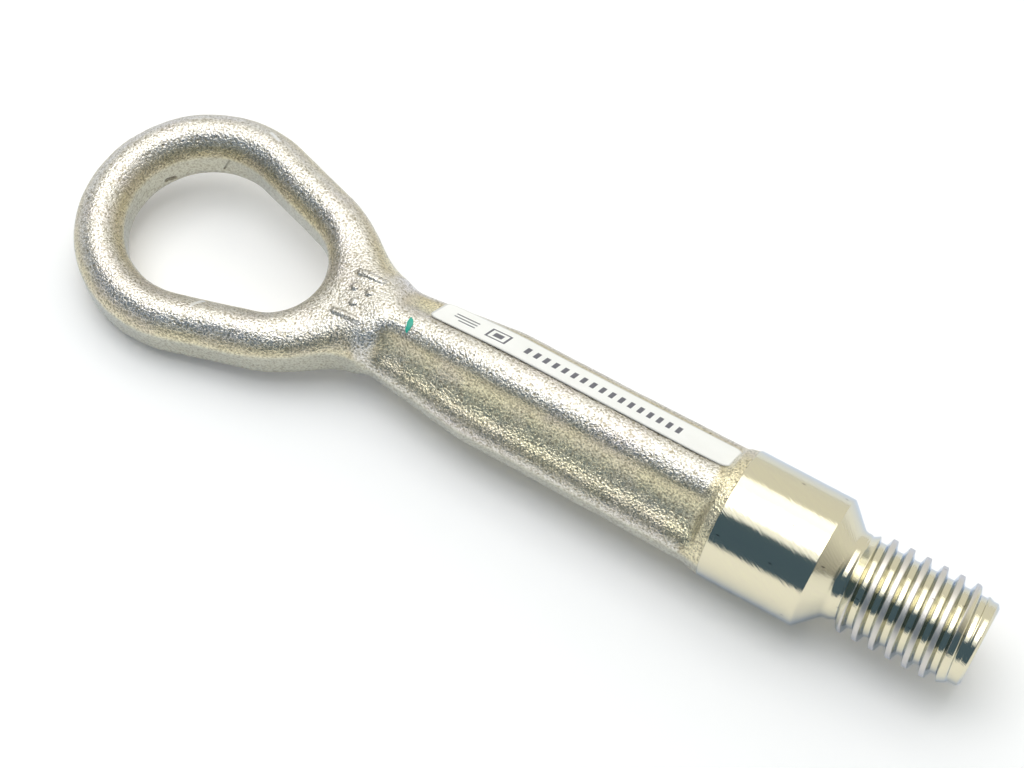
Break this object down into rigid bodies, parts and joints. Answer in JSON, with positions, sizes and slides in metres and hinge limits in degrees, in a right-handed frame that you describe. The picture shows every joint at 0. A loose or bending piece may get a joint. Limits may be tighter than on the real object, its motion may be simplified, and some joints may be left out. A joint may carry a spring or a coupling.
{
  "type": "tow eye",
  "caption": "Forged screw-in tow eye: a pear-shaped ring on a fluted shank, with a round pilot collar, a seat cone and a coarse threaded end for the socket behind a bumper.",
  "frame": {"origin": "on the shank's axis, at the front edge of the pilot collar, where the seat cone begins", "axes": "+X along the shank towards the screw tip, +Z square to the plane of the eye, +Y across the eye"},
  "size_m": [0.1797, 0.0472, 0.024],
  "materials": {
    "zinc_plated_steel": "zinc plated and pale yellow passivated, grainy satin on the forging and brighter where turned",
    "label_film": "white print film with a soft sheen"
  },
  "bodies": {
    "root": {"tow_eye": "zinc_plated_steel", "label_strip": "label_film"}
  },
  "joints": []
}
